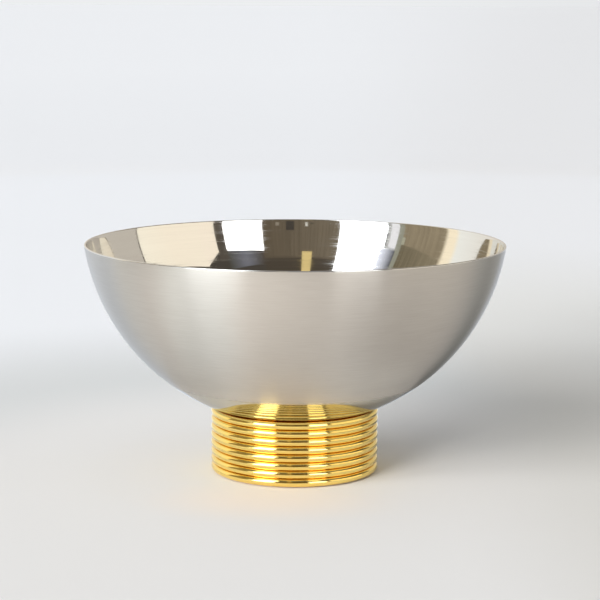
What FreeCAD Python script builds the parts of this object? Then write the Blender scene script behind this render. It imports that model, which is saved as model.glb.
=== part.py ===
"""Footed baptismal bowl: a spun steel bowl clamped on a foot of eight stacked gold rings.

Frame: millimetres, +Z up, origin on the table under the centre of the foot.

The bowl is a spherical cap of steel sheet, bedded on the top ring. The rings are bent from round
bar and faced flat where they meet. They are threaded over a sleeve, which stands on a turned base
plate. The base plate's lip carries the lowest ring. A stud in a boss under the bowl passes down
through the base plate, and one nut there pulls bowl, rings and base plate together. A felt pad
closes the underside and is the only thing that touches the table.
"""
import FreeCAD, Part
import math
import os

import Sketcher

RING_COUNT = 8

# Driving dimensions, in millimetres: alias, value, what it is.
SIZES = [
    ("bowl_radius", 131.4, "outer radius of the bowl's sphere"),
    ("wall", 1.2, "thickness of the bowl's sheet"),
    ("rim_radius", 130.0, "outer radius of the bowl at its rim"),
    ("rim_round", 0.55, "radius on both edges of the rim"),
    ("standoff", 0.5, "height of the lowest ring and the base plate's lip above the table"),
    ("ring_pitch", 5.0, "height of one ring between its two flats"),
    ("ring_section", 2.55, "radius of the round bar that a ring is bent from"),
    ("ring_centre", 49.7, "radius of the circle that the bar's centre follows"),
    ("running_gap", 0.05, "radial clearance of the sleeve in the rings and on its spigot"),
    ("sleeve_wall", 1.5, "wall of the sleeve"),
    ("sleeve_top", 38.6, "height of the sleeve's upper end above the table"),
    ("sleeve_chamfer", 0.4, "chamfer on the sleeve's ends"),
    ("plate_top", 4.6, "height of the base plate's disc above the table"),
    ("lip_radius", 48.4, "outer radius of the base plate's lip, under the lowest ring"),
    ("pad_thick", 1.6, "thickness of the felt pad"),
    ("pad_radius", 44.0, "radius of the felt pad"),
    ("pad_recess", 44.5, "radius of the recess that the pad is glued into"),
    ("hub_radius", 14.0, "outer radius of the base plate's hub"),
    ("hub_fillet", 1.5, "fillet at the foot of the hub"),
    ("hub_chamfer", 0.6, "chamfer on the hub's upper edge"),
    ("hub_top", 15.0, "height of the hub above the table"),
    ("web_bottom", 12.0, "height of the hub's web, which the nut bears on, above the table"),
    ("pocket_radius", 10.0, "radius of the pocket that the nut sits in"),
    ("stud_radius", 3.0, "radius of the M6 stud"),
    ("stud_bottom", 2.8, "height of the stud's lower end above the table"),
    ("stud_chamfer", 0.7, "chamfer on the stud's ends"),
    ("stud_hole", 3.3, "radius of the clearance hole for the stud in the web"),
    ("thread_gap", 0.02, "radial clearance between the stud and the nut or boss"),
    ("boss_radius", 12.0, "radius of the boss under the bowl"),
    ("boss_bottom", 24.9, "height of the boss's lower face above the table"),
    ("boss_chamfer", 0.8, "chamfer on the boss's lower edge"),
    ("boss_hole_top", 29.9, "height of the end of the boss's threaded hole above the table"),
    ("washer_radius", 9.0, "outer radius of the flat washer"),
    ("washer_hole", 3.2, "radius of the flat washer's hole"),
    ("washer_thick", 1.6, "thickness of the flat washer"),
    ("spring_radius", 5.9, "outer radius of the spring washer"),
    ("spring_hole", 3.05, "radius of the spring washer's hole"),
    ("spring_thick", 1.6, "thickness of the spring washer, pressed flat"),
    ("spring_turn", 350.0, "degrees that the split spring washer goes round"),
    ("nut_flats", 10.0, "width of the M6 nut across its flats"),
    ("nut_height", 5.0, "height of the nut"),
    ("nut_bevel", 0.5, "depth of the bevel on the nut's corners"),
]

# Heights and radii worked out from the driving dimensions: alias, formula.
LAYOUT = [
    ("bar_inner", "sizes.ring_centre - sizes.ring_section"),
    ("sleeve_outer", "bar_inner - sizes.running_gap"),
    ("sleeve_bore", "sleeve_outer - sizes.sleeve_wall"),
    ("spigot", "sleeve_bore - sizes.running_gap"),
    ("flat_half", "sqrt(sizes.ring_section ^ 2 - (sizes.ring_pitch / 2) ^ 2)"),
    ("low_ring", "sizes.standoff + sizes.ring_pitch / 2"),
    ("top_ring", f"low_ring + {RING_COUNT - 1} * sizes.ring_pitch"),
    ("seat_rise", "sqrt((sizes.bowl_radius + sizes.ring_pitch / 2) ^ 2 - sizes.ring_centre ^ 2)"),
    ("sphere", "top_ring + seat_rise"),
    ("bowl_bottom", "sphere - sizes.bowl_radius"),
    ("rim_height", "sphere - sqrt(sizes.bowl_radius ^ 2 - sizes.rim_radius ^ 2)"),
    ("bowl_inner", "sizes.bowl_radius - sizes.wall"),
    ("rim_inner", "sqrt(bowl_inner ^ 2 - (sphere - rim_height) ^ 2)"),
    ("lip_height", "low_ring - sqrt(sizes.ring_section ^ 2 - (sizes.ring_centre - sizes.lip_radius) ^ 2)"),
    ("boss_top", "sphere - sqrt(sizes.bowl_radius ^ 2 - sizes.boss_radius ^ 2)"),
    ("thread_bore", "sizes.stud_radius + sizes.thread_gap"),
    ("washer_low", "sizes.web_bottom - sizes.washer_thick"),
    ("spring_low", "washer_low - sizes.spring_thick"),
    ("nut_low", "spring_low - sizes.nut_height"),
    ("nut_corner", "sizes.nut_flats / sqrt(3)"),
]

CLOSE = 1e-4


def make_sheets(doc):
    """The sheet of driving dimensions, and a second one that works the layout out from them."""
    sizes = doc.addObject("Spreadsheet::Sheet", "sizes")
    for row, (alias, value, note) in enumerate(SIZES, start=1):
        sizes.set(f"A{row}", note)
        sizes.set(f"B{row}", str(value))
        sizes.setAlias(f"B{row}", alias)
    layout = doc.addObject("Spreadsheet::Sheet", "layout")
    for row, (alias, formula) in enumerate(LAYOUT, start=1):
        layout.set(f"A{row}", alias.replace("_", " "))
        layout.set(f"B{row}", "=" + formula)
        layout.setAlias(f"B{row}", alias)
    doc.recompute()


def new_body(doc, label):
    """An empty PartDesign body, whose label is the sub-part's name."""
    body = doc.addObject("PartDesign::Body", label)
    body.Label = label
    return body


def new_sketch(body, name, role):
    """A sketch on one of the body's own origin planes."""
    sketch = body.newObject("Sketcher::SketchObject", name)
    plane = next(f for f in body.Origin.OriginFeatures if f.Role == role)
    sketch.AttachmentSupport = [(plane, "")]
    sketch.MapMode = "FlatFace"
    return sketch


def number(body, expression):
    """What an expression of the sheets is worth now."""
    return float(body.evalExpression(expression))


def bind(sketch, kind, name, expression, *where):
    """A dimension of a sketch that follows an expression of the sheets."""
    value = float(sketch.evalExpression(expression))
    index = sketch.addConstraint(Sketcher.Constraint(kind, *where, value))
    sketch.renameConstraint(index, name)
    sketch.setExpression(f"Constraints.{name}", expression)


def place_corner(sketch, name, geometry, end, corner):
    """Ties one end of a line or arc to its place. A coordinate given as None is left to the arc there."""
    across, up = corner[2] if len(corner) > 2 else corner[:2]
    for kind, expression, axis in (("DistanceX", across, -2), ("DistanceY", up, -1)):
        if expression == "0":
            sketch.addConstraint(Sketcher.Constraint("PointOnObject", geometry, end, axis))
        elif expression is not None:
            bind(sketch, kind, f"{name}_{kind[-1]}", expression, -1, 1, geometry, end)


def draw_outline(body, name, corners, arcs=None):
    """A closed outline in the XZ plane, as radius and height, for turning about Z.

    A corner is (radius, height) as expressions. A third entry, (radius, height) with a None in it,
    says which coordinate is tied, for a corner that lies on an arc. arcs gives the edges that are
    arcs: {number of the edge: (centre radius, centre height, arc radius, turns left)}.
    """
    arcs = arcs or {}
    sketch = new_sketch(body, name, "XZ_Plane")
    points = [FreeCAD.Vector(number(body, c[0]), number(body, c[1]), 0) for c in corners]
    starts, ends = [], []
    for i, start in enumerate(points):
        end = points[(i + 1) % len(points)]
        if i not in arcs:
            geometry = sketch.addGeometry(Part.LineSegment(start, end), False)
            starts.append((geometry, 1))
            ends.append((geometry, 2))
            continue
        across, up, radius, left = arcs[i]
        centre = FreeCAD.Vector(number(body, across), number(body, up), 0)
        first, last = (start, end) if left else (end, start)
        turn = [math.atan2(p.y - centre.y, p.x - centre.x) for p in (first, last)]
        if turn[1] < turn[0]:
            turn[1] += 2 * math.pi
        circle = Part.Circle(centre, FreeCAD.Vector(0, 0, 1), number(body, radius))
        geometry = sketch.addGeometry(Part.ArcOfCircle(circle, *turn), False)
        starts.append((geometry, 1 if left else 2))
        ends.append((geometry, 2 if left else 1))
        place_corner(sketch, f"arc_{i}", geometry, 3, (across, up))
        bind(sketch, "Radius", f"arc_{i}_radius", radius, geometry)
    for i, corner in enumerate(corners):
        sketch.addConstraint(Sketcher.Constraint("Coincident", *ends[i - 1], *starts[i]))
        place_corner(sketch, f"corner_{i}", *starts[i], corner)
    return sketch


def turned(body, sketch, kind="PartDesign::Revolution", name="turning"):
    """Turns an outline about Z: a Revolution adds it, and a Groove cuts it away."""
    feature = body.newObject(kind, name)
    feature.Profile = sketch
    feature.ReferenceAxis = (sketch, ["V_Axis"])
    feature.Angle = 360
    body.Document.recompute()
    return feature


def edges_at(feature, radius=None, height=None):
    """Names of the round edges of a feature that have this radius, this height, or both."""
    names = []
    for i, edge in enumerate(feature.Shape.Edges, start=1):
        box = edge.BoundBox
        flat = box.ZLength < CLOSE and not edge.Degenerated
        at_height = height is None or abs(box.ZMin - height) < CLOSE
        at_radius = radius is None or abs(box.XMax - radius) < CLOSE
        if flat and at_height and at_radius:
            names.append(f"Edge{i}")
    return names


def dress(body, base, kind, name, size, edges):
    """A Fillet or Chamfer on named edges of the feature before it."""
    feature = body.newObject(kind, name)
    feature.Base = (base, edges)
    target = "Radius" if kind == "PartDesign::Fillet" else "Size"
    feature.setExpression(target, size)
    body.Document.recompute()
    return feature


def pad_sketch(body, sketch, height):
    """Pads a sketch upwards from its plane by an expression of the sheets."""
    pad = body.newObject("PartDesign::Pad", "pad")
    pad.Profile = sketch
    pad.setExpression("Length", height)
    body.Document.recompute()
    return pad


def draw_circles(body, name, radii):
    """Circles round the origin in the XY plane, one for each expression."""
    sketch = new_sketch(body, name, "XY_Plane")
    for i, radius in enumerate(radii):
        circle = Part.Circle(FreeCAD.Vector(), FreeCAD.Vector(0, 0, 1), number(body, radius))
        geometry = sketch.addGeometry(circle, False)
        sketch.addConstraint(Sketcher.Constraint("Coincident", geometry, 3, -1, 1))
        bind(sketch, "Radius", f"radius_{i}", radius, geometry)
    return sketch


def lift(body, height):
    """Sets the body's place above the table from an expression of the sheets."""
    body.setExpression("Placement.Base.z", height)


def make_bowl(doc):
    """The spun bowl: a spherical cap of even thickness with a rounded rim."""
    body = new_body(doc, "bowl_shell")
    sphere = ("0", "layout.sphere")
    outline = draw_outline(
        body,
        "bowl_section",
        [
            ("0", "layout.bowl_bottom", ("0", None)),
            ("sizes.rim_radius", "layout.rim_height", (None, "layout.rim_height")),
            ("layout.rim_inner", "layout.rim_height", (None, "layout.rim_height")),
            ("0", "layout.sphere - layout.bowl_inner", ("0", None)),
        ],
        {0: (*sphere, "sizes.bowl_radius", True), 2: (*sphere, "layout.bowl_inner", False)},
    )
    shell = turned(body, outline)
    rim = edges_at(shell, height=number(body, "layout.rim_height"))
    dress(body, shell, "PartDesign::Fillet", "rim_round", "sizes.rim_round", rim)
    return body


def make_boss(doc):
    """The threaded boss brazed under the bowl, with a top that fits the bowl's sphere."""
    body = new_body(doc, "stud_boss")
    outline = draw_outline(
        body,
        "boss_section",
        [
            ("layout.thread_bore", "sizes.boss_bottom"),
            ("sizes.boss_radius", "sizes.boss_bottom"),
            ("sizes.boss_radius", "layout.boss_top", ("sizes.boss_radius", None)),
            ("0", "layout.bowl_bottom", ("0", None)),
            ("0", "sizes.boss_hole_top"),
            ("layout.thread_bore", "sizes.boss_hole_top"),
        ],
        {2: ("0", "layout.sphere", "sizes.bowl_radius", False)},
    )
    boss = turned(body, outline)
    low = edges_at(boss, number(body, "sizes.boss_radius"), number(body, "sizes.boss_bottom"))
    dress(body, boss, "PartDesign::Chamfer", "low_edge", "sizes.boss_chamfer", low)
    return body


def make_stud(doc):
    """The M6 stud, at its thread's outer diameter, chamfered at both ends."""
    body = new_body(doc, "tie_stud")
    shank = pad_sketch(
        body,
        draw_circles(body, "stud_section", ["sizes.stud_radius"]),
        "sizes.boss_hole_top - sizes.stud_bottom",
    )
    dress(body, shank, "PartDesign::Chamfer", "ends", "sizes.stud_chamfer", edges_at(shank))
    lift(body, "sizes.stud_bottom")
    return body


def make_ring(doc, index):
    """One foot ring: round bar bent to a circle and faced flat above and below."""
    body = new_body(doc, f"foot_ring_{index}")
    top, bottom = "sizes.ring_pitch / 2", "-sizes.ring_pitch / 2"
    outer = "sizes.ring_centre + layout.flat_half"
    inner = "sizes.ring_centre - layout.flat_half"
    bar = ("sizes.ring_centre", "0", "sizes.ring_section")
    outline = draw_outline(
        body,
        "bar_section",
        [
            (inner, bottom, (None, bottom)),
            (outer, bottom, (None, bottom)),
            (outer, top, (None, top)),
            (inner, top, (None, top)),
        ],
        {1: (*bar, True), 3: (*bar, True)},
    )
    turned(body, outline)
    if index == RING_COUNT:
        bed_bowl(body)
    lift(body, f"layout.low_ring + {index - 1} * sizes.ring_pitch")
    return body


def bed_bowl(body):
    """Cuts the bowl's sphere out of the top ring, so that the bowl beds on it."""
    near, far = "layout.bar_inner", "sizes.ring_centre + sizes.ring_section"
    above = "sizes.ring_pitch"
    rise = "layout.seat_rise - sqrt(sizes.bowl_radius ^ 2 - ({0}) ^ 2)"
    seat = draw_outline(
        body,
        "seat_section",
        [
            (near, rise.format(near), (near, None)),
            (far, rise.format(far), (far, None)),
            (far, above),
            (near, above),
        ],
        {0: ("0", "layout.seat_rise", "sizes.bowl_radius", True)},
    )
    turned(body, seat, "PartDesign::Groove", "bowl_seat")


def make_sleeve(doc):
    """The sleeve that keeps the rings in line, standing on the base plate's shoulder."""
    body = new_body(doc, "foot_sleeve")
    tube = pad_sketch(
        body,
        draw_circles(body, "sleeve_section", ["layout.sleeve_outer", "layout.sleeve_bore"]),
        "sizes.sleeve_top - layout.low_ring",
    )
    dress(body, tube, "PartDesign::Chamfer", "ends", "sizes.sleeve_chamfer", edges_at(tube))
    lift(body, "layout.low_ring")
    return body


def make_base_plate(doc):
    """The turned base plate: a lip under the lowest ring, a spigot for the sleeve and a hub."""
    body = new_body(doc, "base_plate")
    outline = draw_outline(
        body,
        "plate_section",
        [
            ("sizes.stud_hole", "sizes.web_bottom"),
            ("sizes.pocket_radius", "sizes.web_bottom"),
            ("sizes.pocket_radius", "sizes.pad_thick"),
            ("sizes.pad_recess", "sizes.pad_thick"),
            ("sizes.pad_recess", "sizes.standoff"),
            ("sizes.lip_radius", "sizes.standoff"),
            ("sizes.lip_radius", "layout.lip_height", ("sizes.lip_radius", None)),
            ("layout.bar_inner", "layout.low_ring", (None, "layout.low_ring")),
            ("layout.spigot", "layout.low_ring"),
            ("layout.spigot", "sizes.plate_top"),
            ("sizes.hub_radius", "sizes.plate_top"),
            ("sizes.hub_radius", "sizes.hub_top"),
            ("sizes.stud_hole", "sizes.hub_top"),
        ],
        {6: ("sizes.ring_centre", "layout.low_ring", "sizes.ring_section", False)},
    )
    plate = turned(body, outline)
    hub = number(body, "sizes.hub_radius")
    foot = edges_at(plate, hub, number(body, "sizes.plate_top"))
    filleted = dress(body, plate, "PartDesign::Fillet", "hub_foot", "sizes.hub_fillet", foot)
    crown = edges_at(filleted, hub, number(body, "sizes.hub_top"))
    dress(body, filleted, "PartDesign::Chamfer", "hub_crown", "sizes.hub_chamfer", crown)
    return body


def make_flat_washer(doc):
    """The wide M6 washer against the base plate's web."""
    body = new_body(doc, "flat_washer")
    rings = draw_circles(body, "washer_section", ["sizes.washer_radius", "sizes.washer_hole"])
    pad_sketch(body, rings, "sizes.washer_thick")
    lift(body, "layout.washer_low")
    return body


def make_spring_washer(doc):
    """The split M6 spring washer, pressed flat under the nut."""
    body = new_body(doc, "spring_washer")
    outline = draw_outline(
        body,
        "spring_section",
        [
            ("sizes.spring_hole", "0"),
            ("sizes.spring_radius", "0"),
            ("sizes.spring_radius", "sizes.spring_thick"),
            ("sizes.spring_hole", "sizes.spring_thick"),
        ],
    )
    turned(body, outline).setExpression("Angle", "sizes.spring_turn")
    lift(body, "layout.spring_low")
    return body


def make_nut(doc):
    """The M6 hexagon nut, with its corners bevelled top and bottom."""
    body = new_body(doc, "clamp_nut")
    hexagon = new_sketch(body, "nut_section", "XY_Plane")
    corner = number(body, "layout.nut_corner")
    turns = [math.radians(60 * i) for i in range(6)]
    tips = [FreeCAD.Vector(corner * math.cos(a), corner * math.sin(a), 0) for a in turns]
    sides = [hexagon.addGeometry(Part.LineSegment(tips[i - 1], tips[i]), False) for i in range(6)]
    circle = Part.Circle(FreeCAD.Vector(), FreeCAD.Vector(0, 0, 1), corner)
    guide = hexagon.addGeometry(circle, True)
    hexagon.addConstraint(Sketcher.Constraint("Coincident", guide, 3, -1, 1))
    bind(hexagon, "Radius", "across_corners", "layout.nut_corner", guide)
    for i, side in enumerate(sides):
        hexagon.addConstraint(Sketcher.Constraint("Coincident", sides[i - 1], 2, side, 1))
        hexagon.addConstraint(Sketcher.Constraint("PointOnObject", side, 2, guide))
    for side in sides[1:]:
        hexagon.addConstraint(Sketcher.Constraint("Equal", sides[0], side))
    hexagon.addConstraint(Sketcher.Constraint("PointOnObject", sides[0], 2, -1))
    bore = hexagon.addGeometry(
        Part.Circle(FreeCAD.Vector(), FreeCAD.Vector(0, 0, 1), number(body, "layout.thread_bore")),
        False,
    )
    hexagon.addConstraint(Sketcher.Constraint("Coincident", bore, 3, -1, 1))
    bind(hexagon, "Radius", "bore", "layout.thread_bore", bore)
    pad_sketch(body, hexagon, "sizes.nut_height")
    flat, tip = "sizes.nut_flats / 2", "layout.nut_corner + sizes.nut_bevel"
    drop = f"({tip} - {flat}) * tan(30 deg)"
    for name, level, sign in (("low_bevel", "0", "+"), ("top_bevel", "sizes.nut_height", "-")):
        corners = [(flat, level), (tip, level), (tip, f"{level} {sign} {drop}")]
        bevel = draw_outline(body, f"{name}_section", corners)
        turned(body, bevel, "PartDesign::Groove", name)
    lift(body, "layout.nut_low")
    return body


def make_pad(doc):
    """The felt pad glued under the base plate."""
    body = new_body(doc, "felt_pad")
    pad_sketch(body, draw_circles(body, "pad_section", ["sizes.pad_radius"]), "sizes.pad_thick")
    return body


def make_parts(doc):
    """Every sub-part, from the bowl down to the pad."""
    makers = [make_bowl, make_boss, make_stud, make_sleeve, make_base_plate]
    makers += [make_flat_washer, make_spring_washer, make_nut, make_pad]
    parts = [maker(doc) for maker in makers]
    parts += [make_ring(doc, index) for index in range(1, RING_COUNT + 1)]
    doc.recompute()
    return parts


def check(doc, parts):
    """Stops before anything is written if a feature failed or a shape isn't a sound solid."""
    for item in doc.Objects:
        if {"Invalid", "Error"} & set(item.State):
            raise RuntimeError(f"{item.Label} failed: {item.State}")
    for part in parts:
        shape = part.Shape
        if shape.isNull() or not shape.isValid() or len(shape.Solids) != 1:
            raise RuntimeError(f"{part.Label} is not one sound solid")


def write(parts):
    """One STEP file for each sub-part, named after its label."""
    os.makedirs("parts", exist_ok=True)
    for part in parts:
        part.Shape.exportStep(f"parts/{part.Label}.step")
        box = part.Shape.BoundBox
        print(
            f"{part.Label:14s} {part.Shape.Volume:10.1f} mm3  r {box.XMax:7.2f}"
            f"  z {box.ZMin:7.2f} to {box.ZMax:7.2f}"
        )


def main():
    doc = FreeCAD.newDocument("footed_bowl")
    make_sheets(doc)
    parts = make_parts(doc)
    check(doc, parts)
    write(parts)


main()
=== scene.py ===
"""Looks of the footed font bowl: satin and mirror steel on a foot of polished gold rings.

Metres, +Z up, origin on the table under the middle of the foot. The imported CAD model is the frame.
The bowl, the rings and the felt are turned again as finer meshes round the same outlines. The other
pieces keep their CAD meshes and get better materials.
"""
import math
import random

import bpy
from mathutils import Matrix, Vector, noise


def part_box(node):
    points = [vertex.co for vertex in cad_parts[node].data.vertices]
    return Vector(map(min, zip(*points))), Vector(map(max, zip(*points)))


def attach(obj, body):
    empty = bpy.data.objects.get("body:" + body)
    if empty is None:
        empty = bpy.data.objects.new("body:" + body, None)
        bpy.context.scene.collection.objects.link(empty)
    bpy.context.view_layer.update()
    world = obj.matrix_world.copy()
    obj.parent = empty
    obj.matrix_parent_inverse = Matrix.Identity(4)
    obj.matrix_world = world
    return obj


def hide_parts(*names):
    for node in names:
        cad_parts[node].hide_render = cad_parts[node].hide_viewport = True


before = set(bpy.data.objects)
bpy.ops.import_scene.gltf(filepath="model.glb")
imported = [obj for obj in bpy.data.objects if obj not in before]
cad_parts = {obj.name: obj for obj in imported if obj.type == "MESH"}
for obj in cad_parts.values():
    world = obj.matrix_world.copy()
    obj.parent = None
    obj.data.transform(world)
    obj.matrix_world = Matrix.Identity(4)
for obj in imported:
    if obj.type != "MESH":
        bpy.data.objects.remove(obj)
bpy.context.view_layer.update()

MM = 0.001
TURN = 2 * math.pi
random.seed(5)


# ---------------------------------------------------------------- sizes from the frame

def on_axis(node):
    """Heights, lowest first, of the points of a CAD node that lie on the axis."""
    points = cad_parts[node].data.vertices
    return sorted(p.co.z for p in points if math.hypot(p.co.x, p.co.y) < 0.01 * MM)


def inner_radius(node):
    """How near the axis the points of a CAD node come."""
    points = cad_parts[node].data.vertices
    return min(p.co.xy.length for p in points)


RINGS = sorted(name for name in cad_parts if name.startswith("foot_ring_"))
RIM_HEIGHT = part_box("bowl_shell")[1].z
BOTTOM, BOTTOM_INSIDE = on_axis("bowl_shell")[0], on_axis("bowl_shell")[-1]
WALL = BOTTOM_INSIDE - BOTTOM
# No point of the shell lies outside its sphere, and every sphere through the bottom has this radius.
SPHERE = max(
    (p.co.xy.length_squared + (p.co.z - BOTTOM) ** 2) / (2 * (p.co.z - BOTTOM))
    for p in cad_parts["bowl_shell"].data.vertices
    if p.co.z > BOTTOM + WALL
)
CENTRE = BOTTOM + SPHERE
FOOT_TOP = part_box(RINGS[-1])[1].z


# ---------------------------------------------------------------- meshes

def arc(centre, radius, start, end, count):
    """Points (radius, height) along an arc. Angles are in radians, anticlockwise from outwards."""
    return [
        (
            centre[0] + radius * math.cos(start + (end - start) * i / count),
            centre[1] + radius * math.sin(start + (end - start) * i / count),
        )
        for i in range(count + 1)
    ]


def new_mesh(name, vertices, faces):
    mesh = bpy.data.meshes.new(name)
    mesh.from_pydata(vertices, [], faces)
    return mesh


def add(name, data):
    """A new object in the scene, for a mesh, a light or a camera."""
    item = bpy.data.objects.new(name, data)
    bpy.context.scene.collection.objects.link(item)
    return item


def turned(name, outline, around, slots=None, shift=None):
    """A closed mesh turned about Z. The outline is a loop of (radius, height), seen anticlockwise.

    slots gives the material slot of each stretch of the outline. shift(angle, radius, height)
    moves a point off the true circle. Points on the axis become a single vertex.
    """
    on_the_axis = 1e-7
    rows, vertices = [], []
    for radius, height in outline:
        if radius < on_the_axis:
            rows.append([len(vertices)] * around)
            vertices.append((0, 0, height))
            continue
        rows.append(list(range(len(vertices), len(vertices) + around)))
        for k in range(around):
            angle = TURN * k / around
            r, z = shift(angle, radius, height) if shift else (radius, height)
            vertices.append((r * math.cos(angle), r * math.sin(angle), z))
    faces, kinds = [], []
    for i, low in enumerate(rows):
        high = rows[(i + 1) % len(rows)]
        if low[0] == low[1] and high[0] == high[1]:
            continue
        for k in range(around):
            n = (k + 1) % around
            corners = [low[k], low[n], high[n], high[k]]
            faces.append([c for j, c in enumerate(corners) if c != corners[j - 1]])
            kinds.append(slots[i] if slots else 0)
    mesh = new_mesh(name, vertices, faces)
    mesh.polygons.foreach_set("material_index", kinds)
    mesh.polygons.foreach_set("use_smooth", [True] * len(faces))
    mesh.update()
    return add(name, mesh)


def stands_for(piece, slot, *nodes):
    """The piece takes the place of CAD nodes, which are hidden; it hangs from the root body. slot is not
    used.
    """
    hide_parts(*nodes)
    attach(piece, "root")


# ---------------------------------------------------------------- materials

class Nodes:
    """A node tree, with short ways to add to it. Values may be numbers or the outputs of nodes."""

    def __init__(self, tree):
        self.tree = tree

    def feed(self, socket, value):
        """Sets an input, or links it. A colour is red, green and blue."""
        if isinstance(value, bpy.types.NodeSocket):
            self.tree.links.new(value, socket)
        elif socket.type == "RGBA":
            socket.default_value = (*value, 1)
        else:
            socket.default_value = value

    def node(self, kind, **inputs):
        """A node of this kind. The names of its inputs are written with _ for spaces."""
        node = self.tree.nodes.new("ShaderNode" + kind)
        for key, value in inputs.items():
            self.feed(node.inputs[key.replace("_", " ")], value)
        return node

    def math(self, operation, *values):
        node = self.tree.nodes.new("ShaderNodeMath")
        node.operation = operation
        for socket, value in zip(node.inputs, values):
            self.feed(socket, value)
        return node.outputs[0]

    def plus(self, a, b):
        return self.math("ADD", a, b)

    def minus(self, a, b):
        return self.math("SUBTRACT", a, b)

    def times(self, a, b):
        return self.math("MULTIPLY", a, b)

    def length(self, x, y):
        return self.math("SQRT", self.plus(self.times(x, x), self.times(y, y)))

    def remap(self, value, low, high, to_low, to_high, smooth=True):
        """Maps low to high onto to_low to to_high, and holds the ends."""
        node = self.tree.nodes.new("ShaderNodeMapRange")
        node.interpolation_type = "SMOOTHSTEP" if smooth else "LINEAR"
        for socket, given in zip(node.inputs, (value, low, high, to_low, to_high)):
            self.feed(socket, given)
        return node.outputs[0]

    def rise(self, value, low, high):
        """0 up to low, 1 from high on, and smooth between."""
        return self.remap(value, low, high, 0.0, 1.0)

    def mix(self, factor, a, b):
        """A colour between a and b."""
        node = self.tree.nodes.new("ShaderNodeMix")
        node.data_type = "RGBA"
        for key, value in (("Factor_Float", factor), ("A_Color", a), ("B_Color", b)):
            self.feed(next(s for s in node.inputs if s.identifier == key), value)
        return next(s for s in node.outputs if s.identifier == "Result_Color")

    def noise(self, vector, scale, detail, roughness=0.5):
        node = self.node("TexNoise", Vector=vector, Scale=scale, Detail=detail, Roughness=roughness)
        return node.outputs[0]


class Shading(Nodes):
    """A material with one Principled shader."""

    def __init__(self, name, **sockets):
        self.material = bpy.data.materials.new(name)
        self.material.use_nodes = True
        super().__init__(self.material.node_tree)
        self.shader = self.tree.nodes["Principled BSDF"]
        for socket, value in sockets.items():
            self.set(socket.replace("_", " "), value)

    def set(self, socket, value):
        self.feed(self.shader.inputs[socket], value)

    def where(self):
        return self.node("TexCoord").outputs["Object"]

    def place(self):
        """The point's place on the object, in metres, as separate X, Y and Z."""
        return self.node("SeparateXYZ", Vector=self.where()).outputs

    def radius(self):
        """The point's distance from the axis, in metres."""
        x, y, _ = self.place()
        return self.length(x, y)

    def off_axis(self):
        """The radius, kept above 0 so that it can divide."""
        return self.math("MAXIMUM", self.radius(), 1e-5)

    def cloud(self, scale, detail, roughness=0.5):
        """Noise that is the same in every direction."""
        return self.noise(self.where(), scale, detail, roughness)

    def lines(self, profile, around, along, detail, roughness=0.5):
        """Marks left by turning: they change slowly round the axis and fast along the profile."""
        x, y, _ = self.place()
        radius = self.off_axis()
        cosine = self.times(self.math("DIVIDE", x, radius), around)
        sine = self.times(self.math("DIVIDE", y, radius), around)
        vector = self.node("CombineXYZ", X=cosine, Y=sine, Z=self.times(profile, along)).outputs[0]
        return self.noise(vector, 1.0, detail, roughness)

    def bump(self, height, distance, strength):
        node = self.node("Bump", Height=height, Distance=distance, Strength=strength)
        self.set("Normal", node.outputs[0])

    def brushed(self, anisotropic):
        """Stretches highlights across lines that run round the axis."""
        quarter_turn = 0.25
        tangent = self.tree.nodes.new("ShaderNodeTangent")
        tangent.direction_type = "RADIAL"
        tangent.axis = "Z"
        self.set("Tangent", tangent.outputs[0])
        self.set("Anisotropic", anisotropic)
        self.set("Anisotropic Rotation", quarter_turn)


def bowl_profile(s):
    """Length along the bowl's profile from its lowest point, in metres."""
    height = s.minus(CENTRE, s.place()[2])
    return s.times(s.math("ARCTAN2", s.radius(), height), SPHERE)


def turned_profile(s):
    """Height plus radius, which grows both up a turned piece's side and out along its faces."""
    return s.plus(s.place()[2], s.radius())


def satin_steel():
    """The bowl's outside: fine lines round the axis, polished low down, where the rings shield it."""
    s = Shading("satin_steel", Metallic=1.0, Specular_Tint=(0.75, 0.75, 0.75))
    profile = bowl_profile(s)
    height = s.place()[2]
    fine = s.lines(profile, around=8.0, along=1700.0, detail=3.0, roughness=0.6)
    broad = s.lines(profile, around=3.0, along=260.0, detail=3.0, roughness=0.6)
    blotch = s.cloud(scale=18.0, detail=3.0)
    shade = s.plus(s.plus(s.times(fine, 0.6), s.times(broad, 0.2)), s.times(blotch, 0.2))
    steel = s.mix(s.rise(shade, 0.3, 0.7), (0.590, 0.562, 0.519), (0.637, 0.613, 0.570))
    # Painted light: low on the outside the base colour is made lighter, standing in for brighter reflected
    # light there.
    low = s.remap(height, FOOT_TOP + 17 * MM, FOOT_TOP + 28 * MM, 0.8, 0.0)
    steel = s.mix(low, steel, (0.70, 0.66, 0.61))
    satin = s.rise(height, FOOT_TOP + 15.8 * MM, FOOT_TOP + 18.2 * MM)
    s.set("Base Color", s.mix(satin, (0.70, 0.68, 0.62), steel))
    polished, rubbed, uneven = 0.03, 0.295, 0.04
    rough = s.plus(rubbed, s.times(s.minus(blotch, 0.5), uneven))
    s.set("Roughness", s.plus(polished, s.times(satin, s.minus(rough, polished))))
    s.brushed(0.95)
    s.bump(fine, 0.02 * MM, 0.15)
    return s.material


def mirror_steel():
    """The bowl's inside: a mirror with faint polishing rings and a little spinning ripple."""
    s = Shading("mirror_steel", Metallic=1.0)
    profile = bowl_profile(s)
    rings = s.lines(profile, around=2.0, along=900.0, detail=3.0, roughness=0.6)
    rubbed = s.lines(profile, around=1.2, along=1100.0, detail=2.0, roughness=0.6)
    ripple = s.lines(profile, around=2.0, along=60.0, detail=1.0)
    s.set("Base Color", s.mix(rings, (0.76, 0.746, 0.722), (0.817, 0.808, 0.789)))
    s.set("Roughness", s.remap(rubbed, 0.42, 0.75, 0.03, 0.13))
    s.bump(ripple, 0.05 * MM, 0.3)
    return s.material


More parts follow.
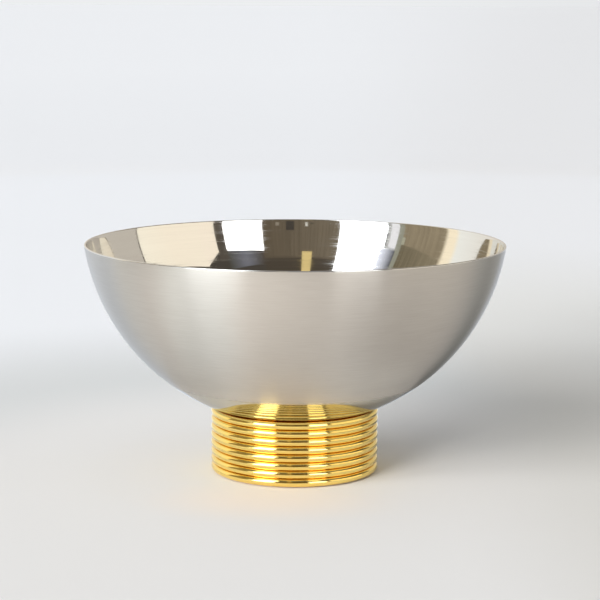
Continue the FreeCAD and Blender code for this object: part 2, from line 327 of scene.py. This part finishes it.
def rim_steel():
    """The rim: hand-polished, with fine scratches across it."""
    s = Shading("rim_steel", Metallic=1.0)
    scratches = s.lines(bowl_profile(s), around=400.0, along=900.0, detail=2.0)
    s.set("Base Color", (0.72, 0.715, 0.70))
    s.set("Roughness", s.remap(scratches, 0.3, 0.8, 0.06, 0.16))
    return s.material


def ring_gold():
    """Polished gold plate with faint draw lines along the bar, and painted shade in the grooves where the
    rings meet.
    """
    s = Shading("ring_gold", Metallic=1.0)
    lines = s.lines(turned_profile(s), around=6.0, along=2500.0, detail=2.0)
    cloud = s.cloud(scale=60.0, detail=3.0)
    # Painted shade: near the top and bottom of the bar, where the rings meet, the gold turns a deep
    # orange-brown.
    bar_middle = (inner_radius(RINGS[0]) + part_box(RINGS[0])[1].x) / 2
    off_middle = s.math("ABSOLUTE", s.minus(s.radius(), bar_middle))
    beyond_groove_shade = s.rise(off_middle, 0.7 * MM, 1.4 * MM)
    gold = s.mix(cloud, (0.99, 0.73, 0.20), (1.0, 0.775, 0.27))
    s.set("Base Color", s.mix(beyond_groove_shade, (0.80, 0.44, 0.055), gold))
    s.set("Roughness", s.remap(lines, 0.3, 0.8, 0.07, 0.155))
    s.bump(cloud, 0.02 * MM, 0.15)
    return s.material


def turned_metal(name, dark, light, roughness):
    """Metal off the lathe, with fine tool marks round the axis."""
    s = Shading(name, Metallic=1.0)
    marks = s.lines(turned_profile(s), around=3.0, along=3000.0, detail=2.0)
    s.set("Base Color", s.mix(marks, dark, light))
    s.set("Roughness", s.remap(marks, 0.3, 0.8, roughness * 0.7, roughness * 1.3))
    s.brushed(0.6)
    s.bump(marks, 0.02 * MM, 0.3)
    return s.material


def felt():
    """Dense wool felt: short tangled fibres, darker between them."""
    s = Shading("felt", Roughness=0.95, Sheen_Weight=0.25, Sheen_Roughness=0.5)
    fibres = s.cloud(scale=900.0, detail=6.0, roughness=0.75)
    clumps = s.cloud(scale=90.0, detail=3.0)
    shade = s.plus(s.times(fibres, 0.75), s.times(clumps, 0.25))
    s.set("Base Color", s.mix(s.rise(shade, 0.35, 0.65), (0.010, 0.032, 0.020), (0.055, 0.13, 0.085)))
    s.bump(fibres, 0.3 * MM, 0.8)
    return s.material


# ---------------------------------------------------------------- pieces

def make_bowl():
    """The bowl: satin outside, mirror inside and a full round rim between them."""
    around, steps, rim_steps = 256, 96, 12
    middle = SPHERE - WALL / 2
    slope = math.acos((CENTRE - RIM_HEIGHT + WALL / 2) / middle)
    down = -math.pi / 2
    outside = arc((0, CENTRE), SPHERE, down, down + slope, steps)
    rim_middle = (middle * math.sin(slope), CENTRE - middle * math.cos(slope))
    rim = arc(rim_middle, WALL / 2, down + slope, down + slope + math.pi, rim_steps)
    inside = arc((0, CENTRE), SPHERE - WALL, down + slope, down, steps)
    outline = outside + rim[1:-1] + inside
    outline[0], outline[-1] = (0.0, BOTTOM), (0.0, BOTTOM_INSIDE)
    satin_slot, rim_slot, mirror_slot = range(3)
    slots = [satin_slot] * steps + [rim_slot] * rim_steps + [mirror_slot] * (steps + 1)
    bowl = turned("bowl", outline, around, slots)
    for material in (satin_steel(), rim_steel(), mirror_steel()):
        bowl.data.materials.append(material)
    stands_for(bowl, "bowl_steel", "bowl_shell")


def ring_outline(node):
    """The bar's section at this ring's height: a round with a flat above and below."""
    steps = 24
    low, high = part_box(RINGS[0])
    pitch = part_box(RINGS[1])[0].z - low.z
    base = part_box(node)[0].z
    section = (high.x - inner_radius(RINGS[0])) / 2
    centre = (high.x - section, base + pitch / 2)
    half = math.asin(pitch / 2 / section)
    outside = arc(centre, section, -half, half, steps)
    inside = arc(centre, section, math.pi - half, math.pi + half, steps)
    return outside + inside


def make_rings():
    """The rings. Each is bent a little out of true, as hand-dressed rings are."""
    around = 224
    out_of_true = 0.12 * MM
    gold = ring_gold()
    for node in RINGS:
        waves = [(n, random.uniform(0, TURN), random.uniform(0.2, 1.0) / n ** 2) for n in (2, 3, 4, 5, 7)]

        def bent(angle, radius, height, waves=waves):
            out = sum(size * math.cos(n * angle + phase) for n, phase, size in waves)
            return radius + out_of_true * out, height

        ring = turned(node.replace("foot_", "gold_"), ring_outline(node), around, shift=bent)
        ring.data.materials.append(gold)
        stands_for(ring, "ring_gold", node)


def make_felt():
    """The felt under the foot: a disc cut from sheet, with a soft edge and slightly uneven faces."""
    around, across, edge_steps = 192, 48, 5
    lump, unevenness = 5 * MM, 0.06 * MM
    low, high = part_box("felt_pad")
    edge = 0.4 * (high.z - low.z)
    flat = [(high.x - edge) * i / across for i in range(across + 1)]
    under = arc((high.x - edge, low.z + edge), edge, -math.pi / 2, 0, edge_steps)
    over = arc((high.x - edge, high.z - edge), edge, 0, math.pi / 2, edge_steps)
    outline = [(r, low.z) for r in flat] + under[1:] + over + [(r, high.z) for r in reversed(flat[:-1])]
    middle = (low.z + high.z) / 2

    def fibrous(angle, radius, height):
        spot = Vector((math.cos(angle), math.sin(angle), height)) * radius / lump
        sink = unevenness * (1 + noise.noise(spot))
        return radius - sink * radius / high.x, height + math.copysign(sink, middle - height)

    pad = turned("felt_disc", outline, around, shift=fibrous)
    pad.data.materials.append(felt())
    stands_for(pad, "felt", "felt_pad")


def dress_cad_nodes():
    """The pieces whose CAD shape is right keep it, and get their materials."""
    brass = turned_metal("turned_brass", (0.70, 0.50, 0.22), (0.88, 0.68, 0.36), roughness=0.28)
    plain = turned_metal("plain_steel", (0.42, 0.41, 0.40), (0.60, 0.59, 0.57), roughness=0.38)
    zinc = turned_metal("zinc_steel", (0.55, 0.56, 0.60), (0.72, 0.73, 0.76), roughness=0.30)
    black = turned_metal("spring_steel", (0.10, 0.10, 0.11), (0.22, 0.22, 0.24), roughness=0.42)
    looks = {
        "base_plate": brass,
        "foot_sleeve": plain,
        "stud_boss": plain,
        "tie_stud": zinc,
        "flat_washer": zinc,
        "clamp_nut": zinc,
        "spring_washer": black,
    }
    for node, material in looks.items():
        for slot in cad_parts[node].material_slots:
            slot.material = material


# ---------------------------------------------------------------- studio

ROOM = 2.4
LEVEL = 1.05
EYE = Vector((0, 0, 0.12))


def heading(bearing, elevation=0.0):
    """A metre out along a bearing, and up by the elevation. Bearing 0 is the camera's side, 90 is +X."""
    bearing, elevation = math.radians(bearing), math.radians(elevation)
    return Vector((math.sin(bearing), -math.cos(bearing), math.tan(elevation)))


def between(a, b, part):
    return a + (b - a) * part


def glow(name, strength, streaks=0.0, fineness=30.0):
    """A card's own light, in the colours of its corners. Streaks run up and down it."""
    material = bpy.data.materials.new(name)
    material.use_nodes = True
    n = Nodes(material.node_tree)
    n.tree.nodes.clear()
    level = LEVEL * strength
    colour = n.tree.nodes.new("ShaderNodeVertexColor")
    colour.layer_name = "light"
    light = n.node("Emission", Color=colour.outputs[0], Strength=level)
    n.node("OutputMaterial", Surface=light.outputs[0])
    if streaks:
        where = n.node("TexCoord").outputs["Object"]
        drawn_out = n.node("Mapping", Vector=where, Scale=(1, 1, 0.02)).outputs[0]
        grain = n.noise(drawn_out, fineness, detail=3.0)
        streaked = n.remap(grain, 0.3, 0.7, level * (1 - streaks), level * (1 + streaks), smooth=False)
        n.feed(light.inputs["Strength"], streaked)
    return material


def for_metal(name, vertices, faces, colours, light):
    """A glowing sheet that only the metal sees."""
    mesh = new_mesh(name, vertices, faces)
    mesh.color_attributes.new("light", "FLOAT_COLOR", "POINT").data.foreach_set("color", colours)
    mesh.materials.append(light)
    piece = add(name, mesh)
    piece.visible_camera = False
    piece.visible_shadow = False
    piece.visible_diffuse = False


def card(name, across, up, colour, end=None, top_end=None, strength=1.0, back=0.0, **marks):
    """A curved card round the object.

    across is its two bearings and up is its two elevations, in degrees. end and top_end are the
    colour and the upper elevation at the second bearing. back is how far it stands behind the others.
    """
    columns, rows = 16, 8
    end = end or colour
    top_end = up[1] if top_end is None else top_end
    vertices, colours = [], []
    for j in range(rows + 1):
        for i in range(columns + 1):
            part = i / columns
            top = between(up[1], top_end, part)
            elevation = up[0] + (top - up[0]) * j / rows
            away = heading(between(across[0], across[1], part), elevation)
            vertices.append(EYE + away * (ROOM + back))
            colours.extend(between(a, b, part) for a, b in zip((*colour, 1), (*end, 1)))
    row = columns + 1
    faces = [
        (j * row + i, j * row + i + 1, (j + 1) * row + i + 1, (j + 1) * row + i)
        for j in range(rows)
        for i in range(columns)
    ]
    for_metal(name, vertices, faces, colours, glow(name, strength, **marks))


def make_cards():
    """What the metal reflects: two windows and a ring of plain cards, dark and light."""
    low, top = -2, 62
    dark, dark_sky, grey = (0.08, 0.065, 0.048), (0.08, 0.065, 0.05), (0.60, 0.55, 0.48)
    cream, deep_cream, pale = (1.09, 0.98, 0.80), (1.1, 0.97, 0.73), (0.98, 0.985, 0.93)
    sky = (0.19, 0.195, 0.225)
    # the side that faces the camera
    card("window_left", (-57.4, -27.5), (1.2, top), (0.96, 1.0, 1.04), end=(0.65, 0.68, 0.70), strength=6.0)
    card("window_right", (20.5, 44.8), (low, 29.2), (1.0, 1.0, 1.0), top_end=26.7, strength=3.2)
    card("middle", (-28, 21), (low, 34), (0.20, 0.165, 0.118), end=(0.125, 0.098, 0.066),
         back=0.05, streaks=0.15)
    card("over_middle", (-28, 21), (33, top), dark, back=0.05)
    card("over_window", (21, 62), (24, top), (0.075, 0.065, 0.053), back=0.1)
    card("sky_a", (21, 33), (28, 37), dark_sky, end=sky, back=0.08)
    card("sky_b", (33, 46), (27, 37), sky, end=(0.08, 0.075, 0.06), back=0.08)
    card("spot_dark", (0.8, 5.8), (11, 18), (0.07, 0.06, 0.05), back=-0.1)
    card("spot_black", (-11, -9), (12, 14), (0.05, 0.05, 0.04), back=-0.1)
    card("spot_pale", (10, 12), (11, 15), (0.32, 0.28, 0.22), back=-0.1)
    card("spot_bright", (-7.4, -6), (13.5, 15.5), (0.8, 0.78, 0.7), back=-0.1)
    card("post_light", (-11, -4.5), (30.3, 48), (0.80, 0.62, 0.27), back=-0.1)
    card("post_dark", (44.6, 51), (low, 32), (0.100, 0.084, 0.066))
    # the right and behind
    card("cream_wall", (50.6, 61), (low, 26.7), (1.09, 0.97, 0.80), top_end=32.6)
    card("cream_wall_near", (61, 82), (low, 32.6), cream, top_end=27.2)
    card("cream_wall_far", (82, 106), (low, 27.2), cream, end=(1.09, 1.015, 0.84), top_end=18.0)
    card("ceiling", (50, 128), (8, top), (0.085, 0.075, 0.062), back=0.15)
    card("corner", (106, 106.9), (low, top), (0.10, 0.09, 0.08))
    card("grey_wall", (106.9, 128), (low, 17.8), grey, top_end=10.0)
    card("grey_wall_far", (128, 185), (low, top), grey)
    # the left and behind
    card("frame_left", (-60.3, -57.4), (low, top), (0.67, 0.67, 0.65), end=(0.20, 0.20, 0.20))
    card("pane", (-65.5, -60.3), (low, 22), (0.95, 0.95, 0.98))
    card("over_pane", (-66, -55.5), (23, top), (0.10, 0.10, 0.11), end=(1.1, 1.15, 1.3), back=-0.02)
    card("edge_green", (-69, -65.5), (low, top), (0.34, 0.34, 0.27))
    card("olive_wall", (-100, -69), (low, 21), (0.31, 0.255, 0.17), streaks=0.3, fineness=50)
    card("olive_upper", (-100, -69), (19, top), (0.285, 0.24, 0.16), end=(0.185, 0.155, 0.10),
         back=-0.02, streaks=0.3, fineness=50)
    card("spot_green", (-70.8, -68.8), (15.5, 19), (0.45, 0.44, 0.33), back=-0.05)
    card("olive_edge", (-102.4, -99.4), (low, top), deep_cream, end=(0.28, 0.23, 0.15), back=-0.03)
    card("cream_band", (-108.5, -102), (low, top), deep_cream)
    card("pale_wall", (-112, -108.5), (low, top), pale, end=deep_cream)
    card("pale_wall_far", (-175, -112), (low, top), (0.78, 0.69, 0.60), end=pale)


def make_table_glow():
    """The light that the table sends up to the metal: warm in front, cool behind, dim on the right.

    A level is a bearing, the light near the object and far from it, and a tint.
    """
    cool, warm, plain = (0.94, 1.0, 1.09), (1.04, 0.985, 0.93), (1.03, 0.99, 0.955)
    clear, fresh = (0.99, 1.0, 0.98), (0.99, 1.0, 1.0)
    levels = [
        (-180, 0.85, 0.90, cool), (-146, 0.88, 1.02, cool), (-118, 0.80, 0.82, cool),
        (-99, 0.79, 0.84, fresh), (-79, 0.71, 0.95, plain), (-62, 0.74, 1.34, clear),
        (-49, 0.76, 1.14, clear), (-37, 0.76, 1.18, clear), (-25, 0.76, 1.12, warm),
        (-14, 0.72, 1.18, warm), (0, 0.70, 1.08, warm), (15, 0.65, 0.96, warm),
        (31, 0.55, 0.71, warm), (41, 0.50, 0.74, warm), (56, 0.48, 0.64, warm),
        (77, 0.51, 0.65, warm), (98, 0.50, 0.56, plain), (111, 0.28, 0.46, clear),
        (121, 0.07, 0.38, clear), (133, 0.09, 0.46, clear), (146, 0.36, 0.76, cool),
        (158, 0.80, 1.00, cool), (180, 0.88, 1.00, cool),
    ]
    radii = (0.13, 0.22, 0.42, 2.2)
    height = 0.5 * MM
    vertices, colours = [], []
    for bearing, near, far, tint in levels:
        for radius, level in zip(radii, (near, (near + far) / 2, far, far)):
            vertices.append(heading(bearing) * radius + Vector((0, 0, height)))
            colours.extend((*(level * part for part in tint), 1))
    row = len(radii)
    faces = [
        (row * i + j, row * i + j + 1, row * (i + 1) + j + 1, row * (i + 1) + j)
        for i in range(len(levels) - 1)
        for j in range(row - 1)
    ]
    for_metal("table_glow", vertices, faces, colours, glow("table_glow", 1.0))


def make_lights():
    """Soft light from the left window's side. The cards show the metal where it comes from.

    A sun is its bearing, its elevation, how wide it is, all in degrees, and its energy.
    """
    suns = {
        "soft_high": (-44, 24, 40, 1.25),
        "soft_low": (-41, 12, 20, 2.4),
        "soft_left": (-64, 13, 22, 1.45),
        "soft_back": (-28, 8.5, 15, 2.2),
    }
    for name, (bearing, elevation, spread, energy) in suns.items():
        data = bpy.data.lights.new(name, "SUN")
        data.energy = energy
        data.color = (1.0, 0.99, 0.975)
        data.angle = math.radians(spread)
        light = add(name, data)
        towards = heading(bearing, elevation)
        light.rotation_euler = towards.to_track_quat("Z", "Y").to_euler()
        light.location = EYE + towards * ROOM
        light.visible_glossy = False


def make_floor():
    """A plain pale floor, cool and pale far away; painted warm light by the foot, painted shade behind and
    right of it.
    """
    size = 300.0
    under_felt = -0.02 * MM
    corners = [(x * size, y * size, under_felt) for x, y in ((-1, -1), (1, -1), (1, 1), (-1, 1))]
    floor = add("floor", new_mesh("floor", corners, [(0, 1, 2, 3)]))
    s = Shading("floor", Roughness=0.7, Specular_IOR_Level=0.1)
    x, y, _ = s.place()
    radius = s.radius()
    # Painted shade: past the foot and behind the object the floor is painted greyer.
    behind = s.times(s.rise(radius, 0.17, 0.32), s.rise(y, -0.12, 0.14))
    near = s.mix(behind, (0.75, 0.745, 0.737), (0.65, 0.665, 0.665))
    # Painted light: a warm pool in front of the foot, as if the gold threw light onto the floor.
    from_painted_pool = s.length(s.times(s.plus(x, 0.015), 0.7), s.plus(y, 0.08))
    near = s.mix(s.remap(from_painted_pool, 0.005, 0.06, 1.0, 0.0), near, (0.835, 0.76, 0.68))
    # Painted shadow: to the right of the object the floor is painted darker and warmer.
    shaded = s.times(s.rise(x, 0.08, 0.20), s.remap(y, -0.05, 0.05, 0.78, 1.0))
    near = s.mix(shaded, near, (0.655, 0.643, 0.612))
    far = s.mix(s.rise(radius, 1.0, 8.0), (0.822, 0.837, 0.864), (0.855, 0.87, 0.897))
    # Painted shade: far off, the floor is painted darker towards the right, as light falls off away from
    # the window.
    far_right = s.mix(s.rise(radius, 0.6, 1.3), (0.74, 0.738, 0.717), (0.79, 0.795, 0.81))
    to_right = s.rise(s.math("DIVIDE", x, s.off_axis()), 0.0, 0.16)
    far = s.mix(to_right, far, far_right)
    s.set("Base Color", s.mix(s.rise(radius, 0.30, 0.60), near, far))
    floor.data.materials.append(s.material)


def make_world():
    """Even light from above, paler towards the horizon. Low on the right it dims as the floor does."""
    horizon, overhead, dimmed = 0.875, 0.49, 0.055
    world = bpy.data.worlds.new("room")
    world.use_nodes = True
    n = Nodes(world.node_tree)
    background = n.tree.nodes["Background"]
    x, _, z = n.node("SeparateXYZ", Vector=n.node("TexCoord").outputs["Generated"]).outputs
    level = n.remap(z, 0.0, 0.30, horizon, overhead, smooth=False)
    low = n.remap(z, 0.0, 0.03, dimmed, 0.0, smooth=False)
    n.feed(background.inputs["Color"], (0.97, 0.985, 1.0))
    n.feed(background.inputs["Strength"], n.minus(level, n.times(n.rise(x, 0.0, 0.16), low)))
    bpy.context.scene.world = world


def make_camera():
    """The camera, a long lens a little above the rim. Its turns are in radians."""
    lens, sensor = 115.2, 36.0
    distance, height = 1.1787, 0.2889
    pitch, yaw, roll = 0.1530, 0.0026, 0.0048
    data = bpy.data.cameras.new("camera")
    data.lens = lens
    data.sensor_width = sensor
    camera = add("camera", data)
    turn = (
        Matrix.Rotation(-yaw, 4, "Z")
        @ Matrix.Rotation(math.pi / 2 - pitch, 4, "X")
        @ Matrix.Rotation(roll, 4, "Z")
    )
    camera.matrix_world = Matrix.Translation((0, -distance, height)) @ turn
    bpy.context.scene.camera = camera


make_bowl()
make_rings()
make_felt()
dress_cad_nodes()
make_cards()
make_table_glow()
make_lights()
make_floor()
make_world()
make_camera()

scene = bpy.context.scene
scene.view_settings.view_transform = "Standard"
scene.cycles.glossy_bounces = 12
scene.cycles.max_bounces = 16
